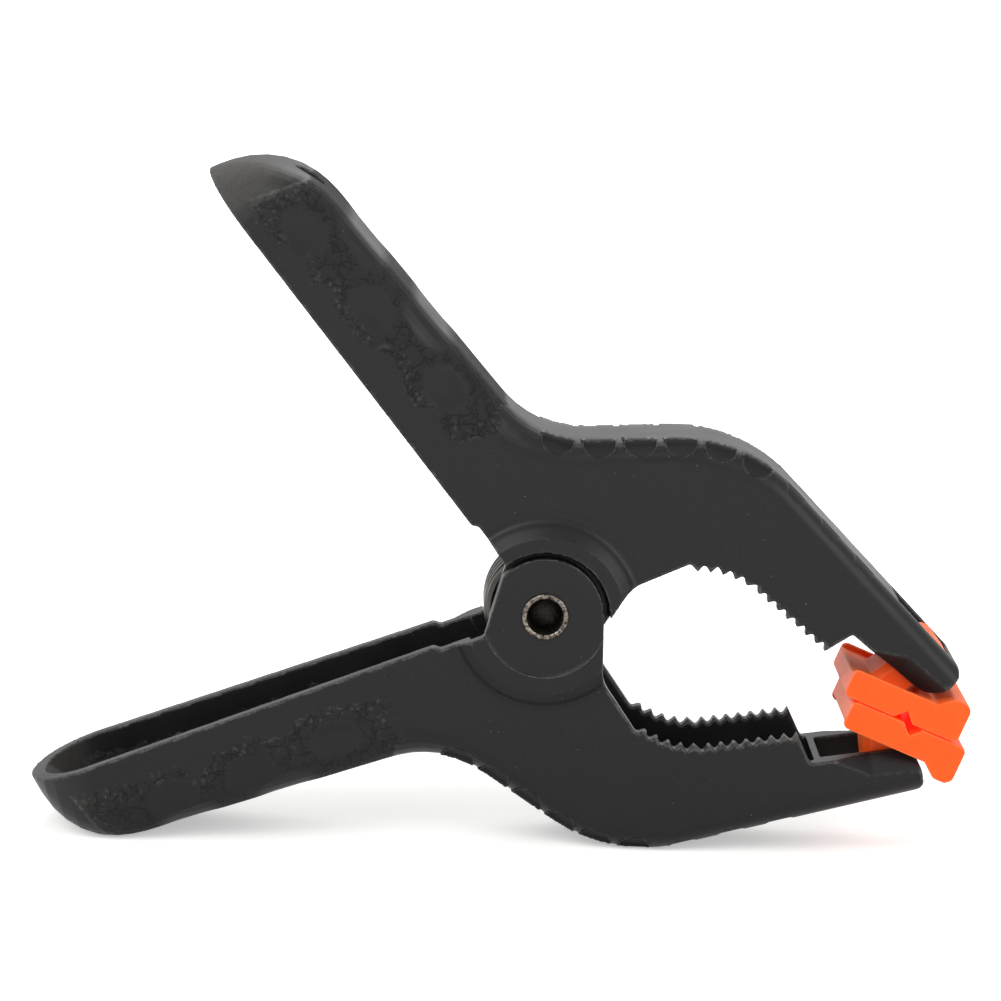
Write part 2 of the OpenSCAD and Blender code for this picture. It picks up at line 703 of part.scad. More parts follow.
// The clamp stands on the lower arm's tail and hump: stand_angle makes both level.
stand_angle =
    let (run = hump_centre[0] - tail_centre[0], rise = tail_centre[1] - hump_centre[1],
         drop = hump_r - tail_back_r)
    atan2(rise, run) - asin(drop / norm([run, rise]));
pivot_z =
    hump_r + hump_centre[1] * cos(stand_angle) + hump_centre[0] * sin(stand_angle);

// The tail of the lower arm reaches furthest back and the upper pad's lobe furthest forward,
// and the middle between them stands over the origin.
lobe_corner = [pad_front - lobe_round, lobe_top - lobe_round];
reach_back = tail[0] * cos(stand_angle) - tail[1] * sin(stand_angle);
reach_front =
    pad_axis[0] * cos(stand_angle) + pad_axis[1] * sin(stand_angle)
    + lobe_corner[0] * cos(stand_angle + pad_turn)
    + lobe_corner[1] * sin(stand_angle + pad_turn) + lobe_round;
pivot_x = -(reach_back + reach_front) / 2;

module stand() translate([pivot_x, 0, pivot_z]) rotate([0, stand_angle, 0]) children();

// Turns a piece of the upper arm's side into the same piece on the lower arm's side.
module other_side() rotate([180, 0, 0]) children();
module at_pad_axis() translate([pad_axis[0], 0, pad_axis[1]]) children();

module lower_arm() stand() other_side() arm();
module upper_arm() stand() arm();
module lower_pad() stand() other_side() at_pad_axis() rotate([0, -pad_turn, 0]) pad();
module upper_pad() stand() at_pad_axis() rotate([0, pad_turn, 0]) pad();

lower_arm();
upper_arm();
torsion_spring();
rivet();
lower_pad();
upper_pad();

echo(pivot = [pivot_x, 0, pivot_z], stand_angle = stand_angle, pad_axis = pad_axis);
echo(tail_centre = tail_centre, face_d = face_d);
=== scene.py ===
"""Looks of a spring clamp: two moulded arms, two jaw pads, a hinge rivet and a torsion spring."""

import json
import math

import bmesh
import bpy
import numpy as np
from mathutils import Matrix, Vector


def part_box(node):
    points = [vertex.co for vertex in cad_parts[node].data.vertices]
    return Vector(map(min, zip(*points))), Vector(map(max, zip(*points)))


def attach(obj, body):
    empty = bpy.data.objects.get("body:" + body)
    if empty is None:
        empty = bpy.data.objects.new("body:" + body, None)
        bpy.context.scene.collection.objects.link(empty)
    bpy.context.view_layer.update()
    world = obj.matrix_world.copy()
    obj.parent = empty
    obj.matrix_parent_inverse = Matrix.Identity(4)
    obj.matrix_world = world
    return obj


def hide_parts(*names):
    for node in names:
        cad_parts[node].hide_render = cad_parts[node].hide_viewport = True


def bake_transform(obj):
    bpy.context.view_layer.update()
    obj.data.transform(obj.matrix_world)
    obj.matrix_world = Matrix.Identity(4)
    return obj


MM = 0.001
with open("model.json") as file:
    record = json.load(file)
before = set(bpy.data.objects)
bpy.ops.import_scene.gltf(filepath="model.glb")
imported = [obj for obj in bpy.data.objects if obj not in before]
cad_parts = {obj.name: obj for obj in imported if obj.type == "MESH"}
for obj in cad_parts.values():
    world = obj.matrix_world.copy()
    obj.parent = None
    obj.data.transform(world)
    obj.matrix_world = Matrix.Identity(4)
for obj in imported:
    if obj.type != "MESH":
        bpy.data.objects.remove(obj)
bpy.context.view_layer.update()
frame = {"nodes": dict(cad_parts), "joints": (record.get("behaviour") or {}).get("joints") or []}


# ---- Places in an arm ----

JOINT_AT = {joint["name"]: np.array(joint["pos_m"]) for joint in frame["joints"]}
HINGE = JOINT_AT["jaw_open"]
# The centre line of the clamp runs from the hinge through the middle between the pad axes.
pad_axes = [at for name, at in JOINT_AT.items() if "pad" in name]
centre_line = (pad_axes[0] + pad_axes[1]) / 2 - HINGE
STAND_ANGLE = math.atan2(-centre_line[2], centre_line[0])
# The handle's rim: its angle to the centre line in degrees, and how far it passes below the hinge.
RIM_ANGLE = 36.2
RIM_DROP = 0.8
# Half the width of the jaw, to its sides.
SIDE_Y = 10.75


def in_arm(points, lower):
    """Points of the row frame in an arm's own frame, in mm: x to the jaws, z to its back."""
    p = (points - HINGE) / MM
    c, s = math.cos(STAND_ANGLE), math.sin(STAND_ANGLE)
    q = np.stack([p[:, 0] * c - p[:, 2] * s, p[:, 1], p[:, 0] * s + p[:, 2] * c], 1)
    return q * (1, -1, -1) if lower else q


def out_of_arm(q, lower):
    """The same points back in the row frame, in metres."""
    q = q * (1, -1, -1) if lower else q
    c, s = math.cos(STAND_ANGLE), math.sin(STAND_ANGLE)
    p = np.stack([q[:, 0] * c + q[:, 2] * s, q[:, 1], -q[:, 0] * s + q[:, 2] * c], 1)
    return p * MM + HINGE


def along_handle(q):
    """Run from the hinge towards the tail and height above the rim, of points in an arm's frame."""
    c, s = math.cos(math.radians(RIM_ANGLE)), math.sin(math.radians(RIM_ANGLE))
    run = -q[:, 0] * c + q[:, 2] * s
    height = q[:, 0] * s + q[:, 2] * c + RIM_DROP
    return run, height


def ramp(x, start, end):
    """Rises smoothly from 0 at start to 1 at end."""
    t = np.clip((x - start) / (end - start), 0, 1)
    return t * t * (3 - 2 * t)


# ---- The back of an arm, seen along the hinge ----

# A line is the angle of its normal to the centre line in degrees, and its distance from the hinge.
HUB_BACK = (90 + 18.3, 29)
JAW_BACK = (90 - 30.3, 45.1)
# The handle's depth about half way along, the run there, and how its back closes in on the rim.
HANDLE_DEPTH, HANDLE_HALF_AT, HANDLE_TAPER = 15.7, 51.15, 2.7
# The arcs in the valley at the hub and on the hump, and how far their chords may lie from them.
VALLEY_R, HUMP_R = 18, 27
ARC_SAG = 0.02


def unit(angle):
    """A step of length 1 at that many degrees to the centre line, as x and z."""
    return np.array([math.cos(math.radians(angle)), math.sin(math.radians(angle))])


def meet(a, b):
    """The point where two lines cross."""
    return np.linalg.solve([unit(a[0]), unit(b[0])], [a[1], b[1]])


def handle_back():
    """The line of the handle's back, which closes in on the rim towards the tail."""
    rim_normal = 90 - RIM_ANGLE
    middle = (HANDLE_DEPTH - RIM_DROP) * unit(rim_normal) - HANDLE_HALF_AT * unit(rim_normal - 90)
    normal = rim_normal + HANDLE_TAPER
    return normal, middle @ unit(normal)


def corner(a, b, r, side):
    """Points on the arc that leads from line a to line b: side is 1 on a hump, -1 in a hollow."""
    centre = meet((a[0], a[1] - side * r), (b[0], b[1] - side * r))
    turn = b[0] - a[0]
    count = math.ceil(abs(turn) / (2 * math.degrees(math.acos(1 - ARC_SAG / r))))
    return [centre + side * r * unit(a[0] + turn * i / count) for i in range(count + 1)]


# ---- Mesh work ----


def read_vertices(mesh, field):
    values = np.empty(len(mesh.vertices) * 3)
    mesh.vertices.foreach_get(field, values)
    return values.reshape(-1, 3)


def points_of(mesh):
    return read_vertices(mesh, "co")


def normals_of(mesh):
    return read_vertices(mesh, "normal")


def set_points(mesh, co):
    mesh.vertices.foreach_set("co", np.ascontiguousarray(co, np.float32).ravel())
    mesh.update()


def neighbour_mean(mesh):
    """A function that gives each point's mean over its neighbours."""
    e = np.empty(len(mesh.edges) * 2, np.int64)
    mesh.edges.foreach_get("vertices", e)
    a, b = e[0::2], e[1::2]
    n = len(mesh.vertices)
    count = np.bincount(a, minlength=n) + np.bincount(b, minlength=n)

    def mean(values):
        columns = values.reshape(n, -1)
        total = [
            np.bincount(a, columns[b, i], n) + np.bincount(b, columns[a, i], n)
            for i in range(columns.shape[1])
        ]
        return (np.stack(total, 1) / count[:, None]).reshape(values.shape)

    return mean


def soften(mesh, passes):
    """Rounds edges and evens out the surface; each step inwards is followed by one back out, so
    that the shape doesn't shrink."""
    mean = neighbour_mean(mesh)
    co = points_of(mesh)
    for _ in range(passes):
        for step in (0.5, -0.52):
            co = co + step * (mean(co) - co)
    set_points(mesh, co)


def convexity(mesh):
    """How far each point stands out of its neighbours, in mm: edges are above 0, hollows below."""
    co = points_of(mesh)
    return ((co - neighbour_mean(mesh)(co)) * normals_of(mesh)).sum(1) / MM


def keep_attribute(mesh, name, values):
    """Stores one value per point for the materials to read."""
    layer = mesh.attributes.new(name, "FLOAT", "POINT")
    layer.data.foreach_set("value", np.asarray(values, np.float32))


def take_result(obj):
    """Gives obj the mesh that its modifiers make, and removes them."""
    evaluated = obj.evaluated_get(bpy.context.evaluated_depsgraph_get())
    result = bpy.data.meshes.new_from_object(evaluated)
    obj.modifiers.clear()
    obj.data = result


def apply_modifier(obj, kind, **settings):
    """Changes obj's mesh by one modifier."""
    modifier = obj.modifiers.new(kind.title(), kind)
    for name, value in settings.items():
        setattr(modifier, name, value)
    take_result(obj)


def new_object(name, mesh):
    obj = bpy.data.objects.new(name, mesh)
    bpy.context.scene.collection.objects.link(obj)
    return obj


# Points of a CAD mesh that lie closer than this, in mm, are one.
SAME_POINT = 0.002


def moulded_copy(name, node, grid):
    """A copy of a CAD node as an object with an even mesh, on a grid of that many mm."""
    mesh = frame["nodes"][node].data.copy()
    mesh.materials.clear()
    work = bmesh.new()
    work.from_mesh(mesh)
    bmesh.ops.remove_doubles(work, verts=work.verts, dist=SAME_POINT * MM)
    work.to_mesh(mesh)
    work.free()
    obj = new_object(name, mesh)
    apply_modifier(obj, "REMESH", mode="VOXEL", voxel_size=grid * MM, use_smooth_shade=True)
    return obj


def thin_out(obj, triangles):
    """Leaves that many triangles at most, the densest where the surface turns."""
    now = len(obj.data.polygons) * 2
    if now > triangles:
        apply_modifier(obj, "DECIMATE", ratio=triangles / now, use_collapse_triangulate=True)


def shade_smooth(mesh):
    mesh.polygons.foreach_set("use_smooth", np.ones(len(mesh.polygons), bool))
    mesh.update()


# ---- Materials ----


def colour(code):
    """Linear colour from an sRGB hex value."""
    parts = [int(code[i : i + 2], 16) / 255 for i in (1, 3, 5)]
    return (*[c / 12.92 if c <= 0.04045 else ((c + 0.055) / 1.055) ** 2.4 for c in parts], 1)


def add(tree, kind, links=(), **settings):
    """Adds a node with its settings, and sets or links its inputs."""
    made = tree.nodes.new(kind)
    for name, value in settings.items():
        setattr(made, name, value)
    for socket, value in links:
        if isinstance(value, bpy.types.NodeSocket):
            tree.links.new(value, made.inputs[socket])
        else:
            made.inputs[socket].default_value = value
    return made


def new_material(name):
    material = bpy.data.materials.new(name)
    material.use_nodes = True
    material.node_tree.nodes.clear()
    return material, material.node_tree


def per_mm(size):
    """Texture scale for a pattern whose parts are size mm wide."""
    return 1 / (size * MM)


def noise(tree, place, size, detail=2.0, roughness=0.5):
    inputs = [("Vector", place), ("Scale", per_mm(size)), ("Detail", detail)]
    return add(tree, "ShaderNodeTexNoise", [*inputs, ("Roughness", roughness)]).outputs


def kept(tree, name):
    """A value that keep_attribute has stored on the piece."""
    return add(tree, "ShaderNodeAttribute", attribute_name=name).outputs["Fac"]


def maths(tree, operation, *values):
    return add(tree, "ShaderNodeMath", list(enumerate(values)), operation=operation).outputs[0]


def times(tree, first, *others):
    for other in others:
        first = maths(tree, "MULTIPLY", first, other)
    return first


def most(tree, first, *others):
    for other in others:
        first = maths(tree, "MAXIMUM", first, other)
    return first


def plus_share(tree, base, value, share):
    """base + share * value"""
    return maths(tree, "MULTIPLY_ADD", value, share, base)


def spread(tree, value, low, high, to_low=0.0, to_high=1.0):
    """Maps low..high of a value to another span, and holds it at both ends."""
    span = [("From Min", low), ("From Max", high), ("To Min", to_low), ("To Max", to_high)]
    return add(tree, "ShaderNodeMapRange", [("Value", value), *span]).outputs[0]


def blend(tree, factor, first, second):
    """Mixes two colours, given as sRGB hex values or as sockets."""
    ends = [colour(c) if isinstance(c, str) else c for c in (first, second)]
    links = [("Factor", factor), (6, ends[0]), (7, ends[1])]
    return add(tree, "ShaderNodeMix", links, data_type="RGBA").outputs[2]


def shifted(tree, place, size, reach):
    """Place pushed about by a noise, so that a pattern loses its regularity."""
    around = add(
        tree,
        "ShaderNodeVectorMath",
        [(0, noise(tree, place, size, 3.0)["Color"]), (1, (0.5, 0.5, 0.5))],
        operation="SUBTRACT",
    )
    links = [(0, around.outputs[0]), (1, (reach * MM,) * 3), (2, place)]
    return add(tree, "ShaderNodeVectorMath", links, operation="MULTIPLY_ADD").outputs[0]


def cracks(tree, place, size, width):
    """Lines between irregular cells size mm wide: 1 in the middle of a line of that width."""
    edge = add(
        tree,
        "ShaderNodeTexVoronoi",
        [("Vector", place), ("Scale", per_mm(size))],
        feature="DISTANCE_TO_EDGE",
    ).outputs["Distance"]
    half = width / size / 2
    return spread(tree, edge, half * 0.3, half, 1.0, 0.0)


def ring(tree, radius, at, half):
    """1 on a line round the hinge at that many mm from it, 0 beyond half a line's width."""
    away = maths(tree, "ABSOLUTE", maths(tree, "SUBTRACT", radius, at))
    return spread(tree, away, half * 0.3, half, 1.0, 0.0)


def flecks(tree, place, size, share, reach):
    """Small spots of uneven size and strength in a share of cells size mm wide."""
    cells = add(
        tree,
        "ShaderNodeTexVoronoi",
        [("Vector", shifted(tree, place, 0.5, 0.35)), ("Scale", per_mm(size))],
    ).outputs
    chance = add(tree, "ShaderNodeSeparateColor", [("Color", cells["Color"])]).outputs
    spot = spread(tree, cells["Distance"], reach * 0.3, reach, 1.0, 0.0)
    return times(tree, spot, maths(tree, "LESS_THAN", chance[0], share), chance[1])


def surface(tree, **inputs):
    """Ends a material in a surface with these inputs, whose names have _ for a space."""
    names = {key.replace("_", " "): value for key, value in inputs.items()}
    shader = add(tree, "ShaderNodeBsdfPrincipled", list(names.items()))
    add(tree, "ShaderNodeOutputMaterial", [("Surface", shader.outputs[0])])


def raised(tree, height):
    """Normal of a surface whose height is given in mm."""
    links = [("Height", height), ("Distance", MM), ("Strength", 1.0)]
    return add(tree, "ShaderNodeBump", links).outputs[0]


def grip_relief(tree, place, inside):
    """Where the grips have their relief: 1 inside its ragged border, 0 outside and in the dishes."""
    ragged = spread(tree, noise(tree, place, 1.6, 3.0)["Fac"], 0.3, 0.7, -0.8, 0.8)
    return times(
        tree,
        spread(tree, maths(tree, "ADD", inside, ragged), 0.0, 0.8),
        maths(tree, "SUBTRACT", 1.0, kept(tree, "dish")),
    )


def leather_cracks(tree, place, bent, relief):
    """Cracks of two sizes, each kind in patches of its own."""
    long_cracks = times(
        tree,
        cracks(tree, bent, 2.7, 0.24),
        spread(tree, noise(tree, place, 2.3, 2.0)["Fac"], 0.38, 0.48),
    )
    short_cracks = times(
        tree,
        cracks(tree, bent, 1.3, 0.2),
        spread(tree, noise(tree, place, 1.9, 3.0)["Fac"], 0.46, 0.56),
    )
    return times(tree, most(tree, long_cracks, short_cracks), relief)


def leather_beads(tree, place, bent, border):
    """Beads about 1 mm wide, in patches along the relief's border."""
    away = add(
        tree, "ShaderNodeTexVoronoi", [("Vector", bent), ("Scale", per_mm(1.05))]
    ).outputs["Distance"]
    patches = spread(tree, noise(tree, place, 1.7)["Fac"], 0.38, 0.5)
    return times(tree, spread(tree, away, 0.15, 0.5, 1.0, 0.0), border, patches)


def moulded_nylon():
    """Black glass-filled nylon from a spark-eroded mould: satin with a fine grain, thin pale lines
    on its edges that are partly rubbed and partly painted highlight, painted shadow and highlight at
    the outer ear's step, a tail that is dusted and partly painted lighter, and a leather-like relief
    of cracks and beads on the grips, with painted highlights on the beads and painted glints by its
    border."""
    material, tree = new_material("black_nylon_moulded")
    place = add(tree, "ShaderNodeTexCoord").outputs["Object"]
    bent = shifted(tree, shifted(tree, place, 2.4, 1.9), 0.6, 0.3)
    inside = kept(tree, "relief")
    relief = grip_relief(tree, place, inside)
    crack = leather_cracks(tree, place, bent, relief)
    # the beads and most of the painted glints stand along the border towards the rim
    border = times(tree, relief, spread(tree, inside, 1.6, 3.6, 1.0, 0.0))
    beads = leather_beads(tree, place, bent, border)
    lumps = times(tree, noise(tree, place, 0.9, 3.0)["Fac"], relief)
    grain = noise(tree, place, 0.28, 4.0, 0.7)["Fac"]

    # painted shadow and painted highlight on the outer ear's face: a fine dark line round the hinge
    # as the shadow of the small step there, and a pale line just outside it as the step's lit edge
    ear, from_hinge = kept(tree, "ear"), kept(tree, "from_hinge")
    ear_step_painted_shadow = times(tree, ear, ring(tree, from_hinge, 10.3, 0.12))
    ear_step_painted_highlight = times(tree, ear, ring(tree, from_hinge, 10.5, 0.09))

    height = plus_share(tree, maths(tree, "MULTIPLY", grain, 0.012), crack, -0.1)
    height = plus_share(tree, height, beads, 0.16)
    height = plus_share(tree, height, lumps, 0.09)

    clouds = noise(tree, place, 12, 4.0)["Fac"]
    rubs = spread(tree, noise(tree, place, 0.8, 5.0, 0.7)["Fac"], 0.36, 0.6)
    smooth = blend(tree, clouds, "#0b0b0c", "#121213")
    body = blend(tree, maths(tree, "MULTIPLY", relief, 0.7), smooth, "#1e1e1e")
    mottled = blend(tree, spread(tree, grain, 0.4, 0.7, 0.0, 0.3), body, "#262525")
    # dark: the cracks' own lines, and the painted shadow at the ear's step
    dark = most(tree, maths(tree, "MULTIPLY", crack, 0.8), ear_step_painted_shadow)
    cracked_and_shaded = blend(tree, dark, mottled, "#020202")
    # the beads are painted lighter: a painted highlight on them
    bright = blend(tree, maths(tree, "MULTIPLY", beads, 0.5), cracked_and_shaded, "#4c4a48")
    # pale lines on the edges and at the ear's step: partly rubbed, partly painted highlight
    lines = most(tree, maths(tree, "MULTIPLY", ear_step_painted_highlight, 0.7), kept(tree, "wear_and_edge_highlight"))
    worn_and_highlit = blend(tree, times(tree, lines, rubs), bright, "#625f5c")
    # the tail's paler tone: partly dusted, partly painted light
    dust_and_painted_light = kept(tree, "dust_and_painted_light")
    dusted_and_lit = blend(tree, times(tree, dust_and_painted_light, spread(tree, rubs, 0, 1, 0.38, 0.5)), worn_and_highlit, "#686663")
    # small pale spots: painted glints on the beads
    glint_specks = flecks(tree, place, 1.5, 0.2, 0.09)
    near_border = spread(tree, border, 0, 1, 0.3, 1.2)
    glinted = blend(tree, times(tree, glint_specks, near_border), dusted_and_lit, "#a5a29e")

    dull = most(tree, kept(tree, "pocket"), dust_and_painted_light, relief)
    surface(
        tree,
        Base_Color=glinted,
        Roughness=plus_share(tree, spread(tree, clouds, 0.3, 0.7, 0.36, 0.46), dull, 0.34),
        Specular_IOR_Level=0.24,
        Normal=raised(tree, height),
    )
    return material


def moulded_elastomer():
    """Orange thermoplastic elastomer, moulded: soft satin that light enters, with a painted red glow
    in its hollows; paler along its edges, partly rubbed and partly painted highlight, and dusted on
    the ends, which are also painted paler as if lit."""
    material, tree = new_material("orange_elastomer_moulded")
    place = add(tree, "ShaderNodeTexCoord").outputs["Object"]
    body = blend(tree, noise(tree, place, 6, 3.0)["Fac"], "#ff5a16", "#ff6420")
    # pale edges: partly rubbed, partly painted highlight
    edges = blend(tree, kept(tree, "wear_and_edge_highlight"), body, "#ff8f60")
    streaks = spread(tree, noise(tree, place, 0.8, 5.0, 0.7)["Fac"], 0.3, 0.7)
    # the back end's paler tone in streaks: partly dusted, partly painted light
    dust_and_light_streaks = times(tree, kept(tree, "dust_and_painted_light"), streaks)
    dusted_and_lit = blend(tree, dust_and_light_streaks, edges, "#ff8a70")
    grain = noise(tree, place, 0.4, 3.0)["Fac"]
    surface(
        tree,
        Base_Color=dusted_and_lit,
        Roughness=0.5,
        Specular_IOR_Level=0.22,
        Subsurface_Weight=0.6,
        Subsurface_Radius=(1.0, 0.14, 0.04),
        Subsurface_Scale=2.4 * MM,
        # the emission is a painted glow, not a lamp: the red of light that would come through the
        # plastic
        Emission_Color=colour("#ff1004"),
        Emission_Strength=maths(tree, "MULTIPLY", kept(tree, "painted_glow"), 0.32),
        Normal=raised(tree, maths(tree, "MULTIPLY", grain, 0.008)),
    )
    return material


def peened_steel():
    """Zinc-plated mild steel, its lip rolled over by a peening tool: bright and scraped on the lip,
    brown in the scratches, dull down the bore and painted dark there as shade, with a painted shadow
    round the lip's outer edge, even and smooth on the head."""
    material, tree = new_material("plated_steel_peened")
    place = add(tree, "ShaderNodeTexCoord").outputs["Object"]
    bore_and_lip_painted_shade = kept(tree, "bore_and_lip_painted_shade")
    peened = kept(tree, "peened")
    rub = noise(tree, place, 0.55, 5.0, 0.7)["Fac"]
    plain = 0.8
    scraped = maths(tree, "SUBTRACT", spread(tree, rub, 0.4, 0.64), plain)
    # painted shade down the bore and round the lip, which are also made rougher
    plate = blend(tree, maths(tree, "MULTIPLY_ADD", peened, scraped, plain), "#2e2721", "#8f877e")
    shaded_plate = blend(tree, bore_and_lip_painted_shade, plate, "#2c2a2a")
    dents = noise(tree, place, 0.45, 3.0)["Fac"]
    surface(
        tree,
        Base_Color=shaded_plate,
        Metallic=1.0,
        Roughness=plus_share(tree, spread(tree, rub, 0.3, 0.7, 0.2, 0.42), bore_and_lip_painted_shade, 0.2),
        Normal=raised(tree, maths(tree, "MULTIPLY", dents, spread(tree, peened, 0, 1, 0.006, 0.05))),
    )
    return material


def drawn_wire():
    """Hard-drawn spring wire, oil-blackened: dark grey with fine bright lines along the wire."""
    material, tree = new_material("spring_wire_drawn")
    along = add(tree, "ShaderNodeUVMap", uv_map="wire").outputs[0]
    drawn = add(tree, "ShaderNodeMapping", [("Vector", along), ("Scale", (1.0, 24.0, 1.0))])
    lines = noise(tree, drawn.outputs[0], 6, 3.0)["Fac"]
    steel = blend(tree, spread(tree, lines, 0.35, 0.7), "#262524", "#5a5754")
    surface(tree, Base_Color=steel, Metallic=1.0, Roughness=0.3)
    return material


# ---- Arms ----

# The relief's border towards the rim, as (run from the hinge, height above the rim) in mm.
LOWER_BORDER = [
    (25.6, 4.0), (29.9, 3.4), (33.5, 5.8), (35.6, 3.6), (45.3, 3.2), (47.8, 7.1), (51.2, 4.1),
    (61.1, 4.2), (64.7, 8.3), (66.7, 4.1), (77.6, 4.3), (86, 3),
]
UPPER_BORDER = [
    (26, 5.4), (30.5, 7.4), (33.8, 4.3), (39, 7.2), (41.6, 4.0), (50, 6.4), (57, 3.0),
    (58.6, 5.2), (60.8, 2.9), (65.6, 5.6), (67.8, 3.0), (74.5, 6.2), (77.5, 2.8), (86, 2.3),
]
# The relief's end across the tail and its wavy end at the hub: the run at the rim's level, and
# how it changes with the height above it.
TAIL_END, TAIL_LEAN = 86.782, -0.34
HUB_END, HUB_LEAN, HUB_WAVE = 25.6, 0.35, 0.9
# Smooth dishes in the relief on a handle's sides, and smooth hollows along its back.
LOWER_DISHES = [(69.5, 9.8), (55.9, 10.4), (40.5, 9.4)]
UPPER_DISHES = [(75.9, 7.8), (59.0, 8.8), (41.0, 10.5)]
DISH_LONG, DISH_WIDE, DISH_DEEP = 4.8, 3.5, 0.42
BACK_HOLLOWS = [68.3, 51.2]
HOLLOW_LONG, HOLLOW_WIDE, HOLLOW_DEEP = 5.6, 1.8, 0.16
BACK_HEIGHT = 13
# The crease round the raised hub, and the low swell outside it.
CREASE_R, SWELL_R, CREASE_DEEP = 15.9, 17.2, 0.2
# The raised face of the outer ear.
EAR_Y = 12.2


def hill(x, at, width):
    """1 at one place, falling off smoothly on both sides of it."""
    return np.exp(-(((x - at) / width) ** 2))


def dishes(run, height, on_side, lower):
    """Where the handle's dishes and hollows are smooth, and how deep they are pressed in mm."""
    smooth = np.zeros(len(run))
    press = np.zeros(len(run))
    for at, up in LOWER_DISHES if lower else UPPER_DISHES:
        out = np.hypot((run - at) / DISH_LONG, (height - up) / DISH_WIDE)
        smooth = np.maximum(smooth, on_side * (1 - ramp(out, 0.75, 1.1)))
        press = np.maximum(press, DISH_DEEP * on_side * (1 - ramp(out, 0.2, 1.15)))
    for at in BACK_HOLLOWS:
        over_edge = np.minimum(height - BACK_HEIGHT - 0.6, 0)
        out = np.hypot((run - at) / HOLLOW_LONG, over_edge / HOLLOW_WIDE)
        on_back = height > BACK_HEIGHT - 3
        smooth = np.maximum(smooth, on_back * (1 - ramp(out, 0.55, 1.2)))
        press = np.maximum(press, on_back * HOLLOW_DEEP * (1 - ramp(out, 0.3, 1.1)))
    return smooth, press


def dress_arm(mesh, lower):
    """Presses the grip's dishes and the crease round the hub, and keeps where the finish changes."""
    co = points_of(mesh)
    n = normals_of(mesh)
    q = in_arm(co, lower)
    run, height = along_handle(q)
    on_side = ramp(np.abs(n[:, 1]), 0.55, 0.9)
    shown = (np.abs(q[:, 1]) > SIDE_Y - 1.2) | (height > BACK_HEIGHT)
    radius = np.hypot(q[:, 0], q[:, 2])

    border = np.interp(run, *zip(*(LOWER_BORDER if lower else UPPER_BORDER)))
    end_run = TAIL_END + TAIL_LEAN * height
    hub_run = HUB_END + HUB_LEAN * height + HUB_WAVE * np.sin(height * 1.3)
    inside = np.minimum.reduce([height - border, end_run - run, run - hub_run])
    smooth, press = dishes(run, height, on_side, lower)
    crease = hill(radius, CREASE_R, 0.6) - 0.5 * hill(radius, SWELL_R, 0.8)
    press = press + CREASE_DEEP * crease * on_side * (1 - ramp(run, 20, 24))

    keep_attribute(mesh, "relief", np.where(shown & (run > 20), inside, -5))
    keep_attribute(mesh, "dish", smooth)
    keep_attribute(mesh, "from_hinge", radius)
    keep_attribute(mesh, "ear", on_side * ramp(q[:, 1], EAR_Y, EAR_Y + 0.3))
    tail_line = 0.5 * shown * ramp(height, 3, 5) * hill(run, end_run, 0.25)
    # pale edges: partly rubbed, partly a painted highlight where the rounded edges would catch the
    # light
    edge_highlight_and_wear = 0.55 * ramp(convexity(mesh), 0.011, 0.04)
    keep_attribute(mesh, "wear_and_edge_highlight", np.maximum(tail_line, edge_highlight_and_wear))
    # the tail is dusted and partly painted lighter as if lit, most where the lower one looks ahead
    # and the upper one looks up
    keep_attribute(mesh, "dust_and_painted_light", ramp(run, 80, 92) * ramp(n[:, 0 if lower else 2], -1, 1))
    set_points(mesh, co - n * (press * shown)[:, None] * MM)


# The grip pockets along the jaw's back: six deep ones, then three front ones with a share of
# the depth, counted along the back from where it has come in to POCKETS_FROM_X.
POCKETS_FROM_X, POCKET_START = -11, 3
POCKET_COUNT, POCKET_PITCH = 6, 6.9
FRONT_COUNT, FRONT_PITCH, FRONT_SHARE = 3, 8.5, 0.65
# A pocket's radius seen from the side, its depth from the side, how far its lower edge lies
# below the back there, and how far its inner end does.
POCKET_R, POCKET_DEEP, POCKET_DROP, POCKET_SINK = 2.7, 5.5, 2.5, 0.7
# A deep pocket is drawn towards POCKET_OUT, measured from the jaw's middle, and keeps this share
# of its distance from there. A front pocket is filled by that share of its depth.
POCKET_OUT, POCKET_KEPT = 10.62, 0.5
FRONT_FILLED = 0.7
# The radius of the jaw's long back edges.
JAW_EDGE_R = 3.4


def pocket_places():
    """x, z, slope of the back and share of the depth of each pocket, from the hub to the tip."""
    path = corner(handle_back(), HUB_BACK, VALLEY_R, -1) + corner(HUB_BACK, JAW_BACK, HUMP_R, 1)
    path = [p for p in path if p[0] > POCKETS_FROM_X]
    path.append(path[-1] + FRONT_COUNT * FRONT_PITCH * 2 * unit(JAW_BACK[0] - 90))
    steps = np.diff(path, axis=0)
    lengths = np.hypot(*steps.T)
    starts = np.concatenate([[0], np.cumsum(lengths)])
    runs = [(POCKET_START + i * POCKET_PITCH, 1) for i in range(POCKET_COUNT)]
    last_deep = runs[-1][0]
    runs += [(last_deep + (i + 1) * FRONT_PITCH, FRONT_SHARE) for i in range(FRONT_COUNT)]
    places = []
    for run, share in runs:
        i = np.searchsorted(starts, run) - 1
        x, z = path[i] + steps[i] * (run - starts[i]) / lengths[i]
        places.append((x, z, math.atan2(steps[i][1], steps[i][0]), share))
    return places


def edge_fall(y):
    """Height of the jaw's rounded back, at y from its middle, over the middle."""
    over = np.clip(y - SIDE_Y + JAW_EDGE_R, 0, JAW_EDGE_R)
    return np.sqrt(JAW_EDGE_R**2 - over**2) - JAW_EDGE_R


